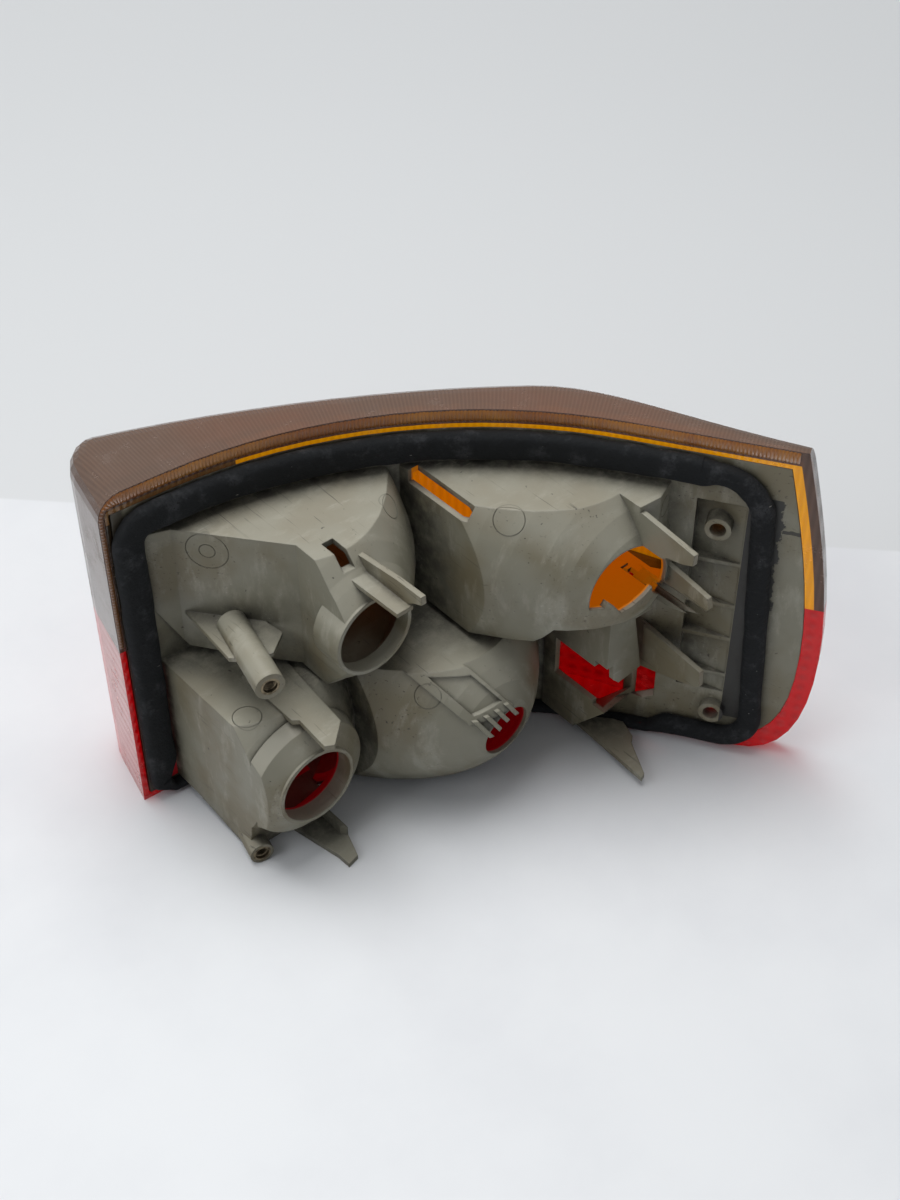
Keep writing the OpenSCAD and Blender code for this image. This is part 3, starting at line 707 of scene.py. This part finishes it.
# %% [markdown]
# The table is plain and pale, and a slightly darker board begins behind the lamp. Neither belongs to the
# lamp, so the panel is kept apart from it. The lights don't reach its far end, so there it gives a little
# light of its own, and only to the camera. The light on the lamp stays plain and soft.

# %% Table
BOARD_SIDE = (0.719, 0.695, 0)
BOARD_EDGE = 0.129
BOARD_FADE = 0.002
FAR_REACH = (0.5, 2.2)
FAR_LIGHT = 0.75
table_white, tree, shader = new_material("table_white")
where = object_place(tree)
stains = mask(tree, cloudy(tree, where, 120, 5), 0.35, 0.75)
colour = mixed(tree, stains, linear(222, 224, 226), linear(214, 216, 219))
past_edge = dot(tree, where, BOARD_SIDE)
board = mask(tree, past_edge, BOARD_EDGE, BOARD_EDGE + BOARD_FADE)
colour = mixed(tree, board, colour, linear(209, 211, 212))
tree.links.new(colour, shader.inputs["Base Color"])
shader.inputs["Roughness"].default_value = 0.5
away = add(tree, "VectorMath", {0: where}, operation="LENGTH").outputs["Value"]
straight = add(tree, "LightPath", {}).outputs["Is Camera Ray"]
tree.links.new(colour, shader.inputs["Emission Color"])
far_light = maths(tree, "MULTIPLY", mask(tree, away, *FAR_REACH), FAR_LIGHT)
tree.links.new(maths(tree, "MULTIPLY", straight, far_light), shader.inputs["Emission Strength"])


def flat_panel(name, corners, material):
    """A stage panel from its four corners."""
    panel = bmesh.new()
    panel.faces.new([panel.verts.new(corner) for corner in corners])
    mesh = bpy.data.meshes.new(name)
    panel.to_mesh(mesh)
    panel.free()
    mesh.materials.append(material)
    board = bpy.data.objects.new(name, mesh)
    bpy.context.collection.objects.link(board)


TABLE_REACH = 3.0
flat_panel(
    "table",
    [
        (-TABLE_REACH, -TABLE_REACH, 0),
        (TABLE_REACH, -TABLE_REACH, 0),
        (TABLE_REACH, TABLE_REACH, 0),
        (-TABLE_REACH, TABLE_REACH, 0),
    ],
    table_white,
)

# %% [markdown]
# The camera looks down at the lamp's back from the left. Its sensor's long side is upright in the picture,
# and the lens is 54 mm, which gives the photograph's perspective.

# %% Camera
CAMERA_AT = Vector((-0.3000, -0.3484, 0.4885))
CAMERA_AIM = Vector((0.0538, 0.0629, 0.0))

camera_data = bpy.data.cameras.new("camera")
camera_data.lens = 54
camera_data.sensor_width = 36
camera_data.clip_start = 0.02
camera_data.clip_end = 20
camera = bpy.data.objects.new("camera", camera_data)
camera.location = CAMERA_AT
camera.rotation_euler = (CAMERA_AIM - CAMERA_AT).to_track_quat("-Z", "Y").to_euler()
bpy.context.collection.objects.link(camera)
bpy.context.scene.camera = camera

# %% Light
def soft_light(name, at, size, power, colour=(1, 1, 1)):
    """A square lamp that faces the middle of the tail lamp."""
    data = bpy.data.lights.new(name, "AREA")
    data.energy = power
    data.size = size
    data.color = colour
    lamp_object = bpy.data.objects.new(name, data)
    lamp_object.location = at
    lamp_object.rotation_euler = (Vector((0, 0, 0.05)) - Vector(at)).to_track_quat("-Z", "Y").to_euler()
    bpy.context.collection.objects.link(lamp_object)


soft_light("ceiling", (0.0, 0.35, 1.6), size=1.1, power=23)
soft_light("window", (-1.2, 0.2, 1.0), size=0.8, power=5, colour=(0.95, 0.97, 1))

ROOM_DIM = 0.3
ROOM_SEEN = 0.6
ROOM_GLOSS = 0.15
world = bpy.data.worlds.new("room")
world.use_nodes = True
sky = world.node_tree.nodes["Background"]
sky.inputs["Color"].default_value = (0.9, 0.92, 0.95, 1)
ray = add(world.node_tree, "LightPath", {}).outputs
seen = maths(world.node_tree, "MAXIMUM", ray["Is Camera Ray"], ray["Is Transmission Ray"])
strength = maths(world.node_tree, "MULTIPLY_ADD", seen, ROOM_SEEN, ROOM_DIM)
strength = maths(world.node_tree, "MULTIPLY_ADD", ray["Is Glossy Ray"], ROOM_GLOSS, strength)
world.node_tree.links.new(strength, sky.inputs["Strength"])
bpy.context.scene.world = world
bpy.context.scene.view_settings.view_transform = "Standard"
